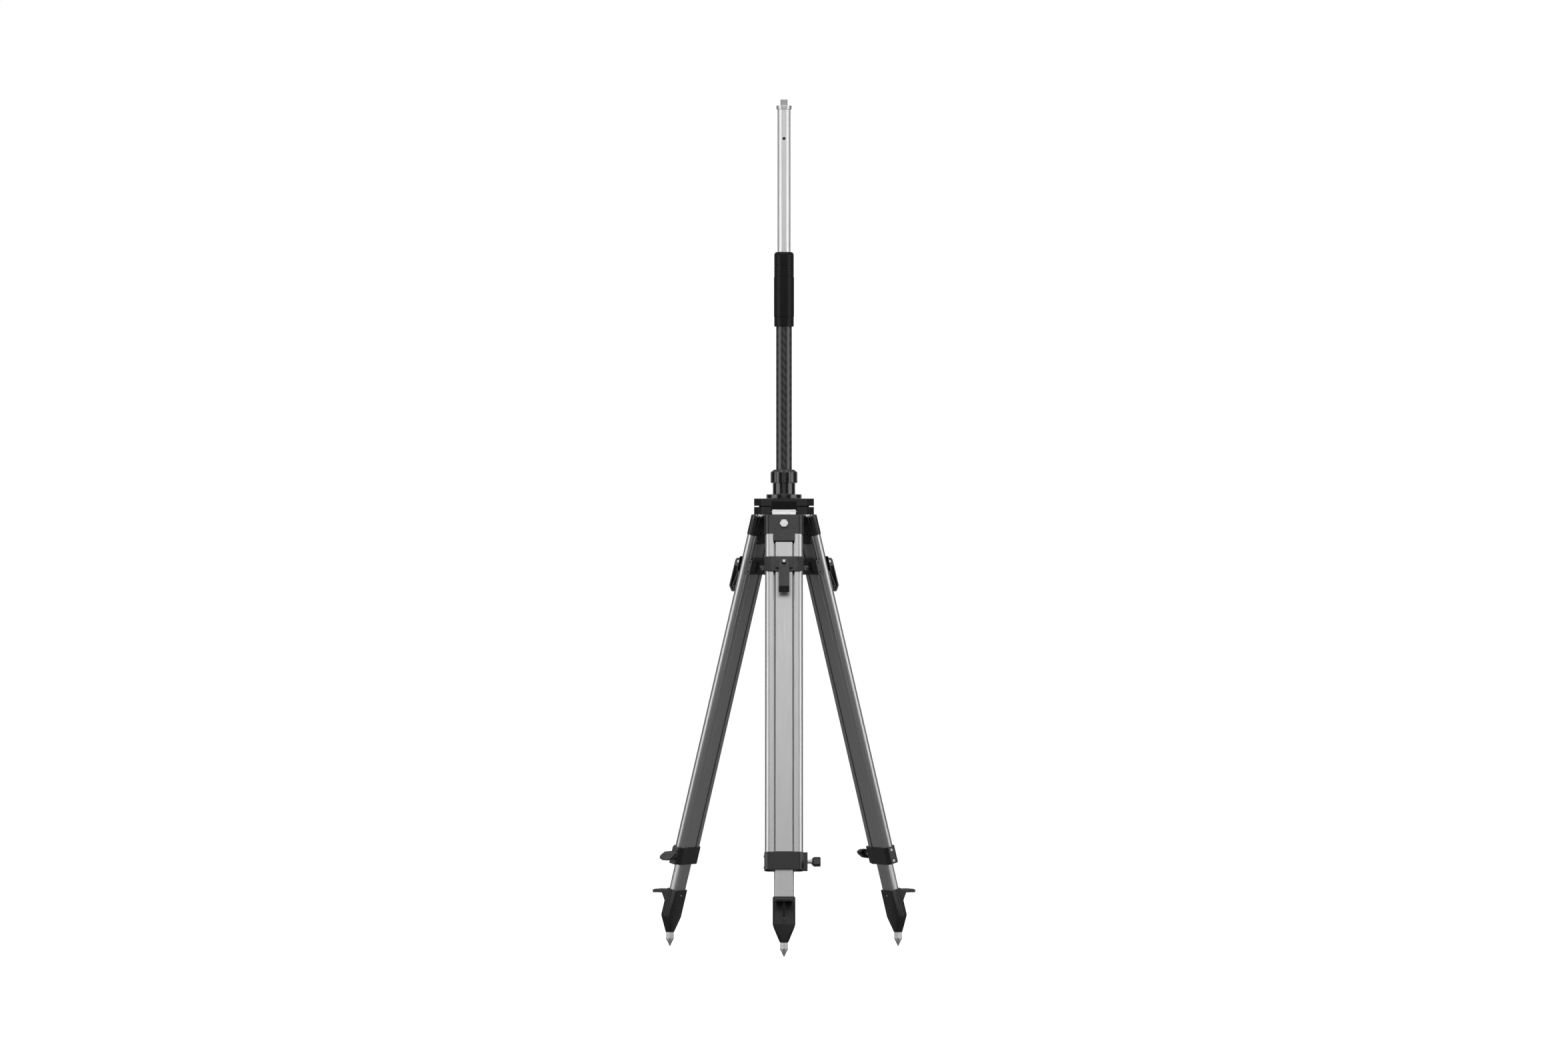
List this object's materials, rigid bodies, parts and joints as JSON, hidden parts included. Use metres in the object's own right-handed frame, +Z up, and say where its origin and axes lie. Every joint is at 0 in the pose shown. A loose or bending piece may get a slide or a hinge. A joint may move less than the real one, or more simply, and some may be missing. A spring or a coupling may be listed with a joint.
{
  "type": "surveyor tripod",
  "caption": "Surveying tripod with splayed sliding legs, cam levers, wing screws and spiked feet, holding a telescopic instrument pole in a central clamp.",
  "frame": {"origin": "the flat on the pole's point, on the ground plane, on the mast axis", "axes": "+Z up along the mast; the first leg leans towards -Y; +X to the right seen from the front"},
  "size_m": [0.567, 0.5165, 1.8135],
  "materials": {
    "black_casting": "satin black powder-coated die casting with a fine grain",
    "black_plastic": "moulded black polymer, satin",
    "black_lever": "bent steel strip, black, semi-gloss",
    "carbon_tube": "twill-woven carbon fibre in clear resin",
    "silver_aluminium": "satin clear-anodised extrusion",
    "rod_aluminium": "satin anodised drawn tube",
    "hinge_polymer": "bright machined hinge knuckle",
    "bright_steel": "zinc-plated, turned and milled steel"
  },
  "bodies": {
    "head": {"head_plate": "black_casting", "top_plate": "black_casting", "spacer_ring": "black_plastic", "clamp_body": "black_casting", "hinge_pin_1": "bright_steel", "hinge_pin_2": "bright_steel", "hinge_pin_3": "bright_steel"},
    "clamp_collar": {"clamp_collar": "black_casting"},
    "pole": {"pole_tube": "carbon_tube", "pole_point": "bright_steel", "grip": "black_plastic"},
    "lock_ring": {"lock_ring": "black_plastic"},
    "extension": {"extension_rod": "rod_aluminium", "rod_bush": "black_plastic", "thread_adapter": "bright_steel"},
    "leg_1": {"cap_1": "black_casting", "hinge_block_1": "hinge_polymer", "cap_bolt_1": "bright_steel", "rail_left_1": "silver_aluminium", "rail_right_1": "silver_aluminium", "lower_clamp_1": "black_casting"},
    "wing_1": {"wing_screw_1": "black_plastic"},
    "shin_1": {"inner_leg_1": "silver_aluminium", "foot_1": "black_casting", "spike_1": "bright_steel", "slider_front_1": "black_casting", "slider_back_1": "black_casting", "slider_bolt_1": "bright_steel", "pivot_nut_1": "bright_steel"},
    "lever_1": {"lever_1": "black_lever"},
    "leg_2": {"cap_2": "black_casting", "hinge_block_2": "hinge_polymer", "cap_bolt_2": "bright_steel", "rail_left_2": "silver_aluminium", "rail_right_2": "silver_aluminium", "lower_clamp_2": "black_casting"},
    "wing_2": {"wing_screw_2": "black_plastic"},
    "shin_2": {"inner_leg_2": "silver_aluminium", "foot_2": "black_casting", "spike_2": "bright_steel", "slider_front_2": "black_casting", "slider_back_2": "black_casting", "slider_bolt_2": "bright_steel", "pivot_nut_2": "bright_steel"},
    "lever_2": {"lever_2": "black_lever"},
    "leg_3": {"cap_3": "black_casting", "hinge_block_3": "hinge_polymer", "cap_bolt_3": "bright_steel", "rail_left_3": "silver_aluminium", "rail_right_3": "silver_aluminium", "lower_clamp_3": "black_casting"},
    "wing_3": {"wing_screw_3": "black_plastic"},
    "shin_3": {"inner_leg_3": "silver_aluminium", "foot_3": "black_casting", "spike_3": "bright_steel", "slider_front_3": "black_casting", "slider_back_3": "black_casting", "slider_bolt_3": "bright_steel", "pivot_nut_3": "bright_steel"},
    "lever_3": {"lever_3": "black_lever"}
  },
  "joints": [
    {"name": "clamp_collar_turn", "type": "hinge", "parent": "head", "child": "clamp_collar", "pos_m": [0, 0, 1.01], "axis": [0, 0, 1], "range_deg": [0, 270]},
    {"name": "pole_slide", "type": "slide", "parent": "head", "child": "pole", "axis": [0, 0, 1], "range_m": [0, 0.25]},
    {"name": "lock_ring_turn", "type": "hinge", "parent": "pole", "child": "lock_ring", "pos_m": [0, 0, 1.473], "axis": [0, 0, 1], "range_deg": [0, 90]},
    {"name": "extension_slide", "type": "slide", "parent": "pole", "child": "extension", "axis": [0, 0, 1], "range_m": [-0.262, 0]},
    {"name": "leg_1_spread", "type": "hinge", "parent": "head", "child": "leg_1", "pos_m": [0, -0.039, 0.9334], "axis": [-1, 0, 0], "range_deg": [-15, 10]},
    {"name": "leg_1_extend", "type": "slide", "parent": "leg_1", "child": "shin_1", "axis": [0, -0.2588, -0.9659], "range_m": [0, 0.5]},
    {"name": "lever_1_swing", "type": "hinge", "parent": "shin_1", "child": "lever_1", "pos_m": [0, -0.10663, 0.82806], "axis": [-1, 0, 0], "range_deg": [0, 110]},
    {"name": "wing_screw_1_turn", "type": "hinge", "parent": "leg_1", "child": "wing_1", "pos_m": [0.06, -0.24449, 0.19766], "axis": [1, 0, 0], "range_deg": [0, 270]},
    {"name": "leg_2_spread", "type": "hinge", "parent": "head", "child": "leg_2", "pos_m": [0.03377, 0.0195, 0.9334], "axis": [0.5, -0.866, 0], "range_deg": [-15, 10]},
    {"name": "leg_2_extend", "type": "slide", "parent": "leg_2", "child": "shin_2", "axis": [0.2241, 0.1294, -0.9659], "range_m": [0, 0.5]},
    {"name": "lever_2_swing", "type": "hinge", "parent": "shin_2", "child": "lever_2", "pos_m": [0.09235, 0.05332, 0.82806], "axis": [0.5, -0.866, 0], "range_deg": [0, 110]},
    {"name": "wing_screw_2_turn", "type": "hinge", "parent": "leg_2", "child": "wing_2", "pos_m": [0.18174, 0.17421, 0.19766], "axis": [-0.5, 0.866, 0], "range_deg": [0, 270]},
    {"name": "leg_3_spread", "type": "hinge", "parent": "head", "child": "leg_3", "pos_m": [-0.03377, 0.0195, 0.9334], "axis": [0.5, 0.866, 0], "range_deg": [-15, 10]},
    {"name": "leg_3_extend", "type": "slide", "parent": "leg_3", "child": "shin_3", "axis": [-0.2241, 0.1294, -0.9659], "range_m": [0, 0.5]},
    {"name": "lever_3_swing", "type": "hinge", "parent": "shin_3", "child": "lever_3", "pos_m": [-0.09235, 0.05332, 0.82806], "axis": [0.5, 0.866, 0], "range_deg": [0, 110]},
    {"name": "wing_screw_3_turn", "type": "hinge", "parent": "leg_3", "child": "wing_3", "pos_m": [-0.24174, 0.07028, 0.19766], "axis": [-0.5, -0.866, 0], "range_deg": [0, 270]}
  ]
}
